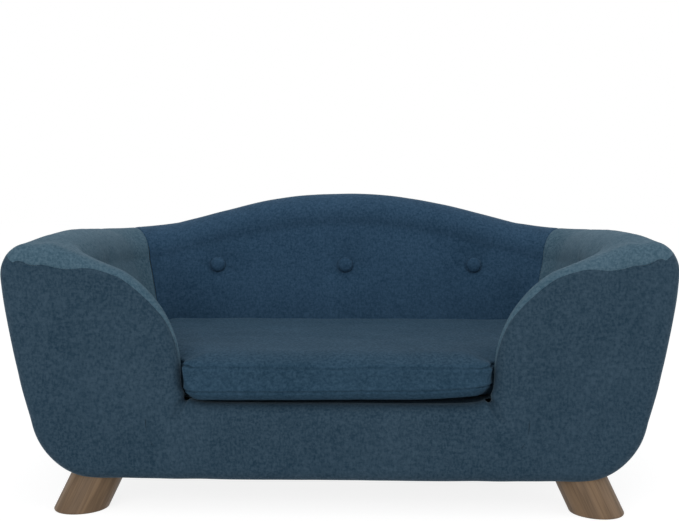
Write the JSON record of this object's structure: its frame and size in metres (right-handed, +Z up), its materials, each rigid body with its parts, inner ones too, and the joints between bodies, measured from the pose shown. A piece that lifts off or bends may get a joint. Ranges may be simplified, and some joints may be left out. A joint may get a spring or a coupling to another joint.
{
  "type": "dog sofa bed",
  "caption": "Small padded sofa for a pet: a C-shaped wall with a humped back, flared arms and a bell-shaped entrance round a loose seat cushion, on short splayed wooden legs.",
  "frame": {"origin": "on the floor under the middle of the sofa", "axes": "+X to the right seen from the front, -Y to the front, +Z up"},
  "size_m": [0.76, 0.4553, 0.3547],
  "materials": {
    "velvet": "short-pile velvet",
    "padding": "open-cell foam",
    "dust_cloth": "non-woven cloth",
    "zip_tape": "woven tape",
    "twine": "waxed twine",
    "leg_wood": "stained and oiled",
    "pine": "planed",
    "plywood": "sanded",
    "steel": "zinc plated",
    "zip_metal": "satin"
  },
  "bodies": {
    "sofa": {"front_left_leg": "leg_wood", "front_right_leg": "leg_wood", "rear_left_leg": "leg_wood", "rear_right_leg": "leg_wood", "leg_bolts": "steel", "leg_inserts": "steel", "deck_screws": "steel", "staples": "steel", "button_washers": "steel", "button_twines": "twine", "back_buttons": "velvet", "arm_buttons": "velvet", "front_left_block": "pine", "front_right_block": "pine", "rear_left_block": "pine", "rear_right_block": "pine", "front_rail": "pine", "back_rail": "pine", "centre_rail": "pine", "left_side_rail": "pine", "right_side_rail": "pine", "left_front_post": "pine", "right_front_post": "pine", "left_rear_post": "pine", "right_rear_post": "pine", "left_top_rail": "pine", "right_top_rail": "pine", "deck_board": "plywood", "front_board": "plywood", "back_board": "plywood", "left_arm_board": "plywood", "right_arm_board": "plywood", "left_arm_foam": "padding", "right_arm_foam": "padding", "back_foam": "padding", "front_foam": "padding", "deck_foam": "padding", "front_cover": "velvet", "left_arm_cover": "velvet", "right_arm_cover": "velvet", "back_cover": "velvet", "rear_cover": "velvet", "deck_cover": "velvet", "dust_cover": "dust_cloth"},
    "seat_cushion": {"cushion_foam": "padding", "cushion_cover": "velvet", "zip_tapes": "zip_tape", "zip_teeth": "zip_metal", "zip_stops": "zip_metal"},
    "zip_slider": {"zip_slider": "zip_metal"}
  },
  "joints": [
    {"name": "cushion_lift", "type": "slide", "parent": "sofa", "child": "seat_cushion", "axis": [0, 0, 1], "range_m": [0, 0.24]},
    {"name": "zip_slide", "type": "slide", "parent": "seat_cushion", "child": "zip_slider", "axis": [-1, 0, 0], "range_m": [0, 0.345]}
  ]
}
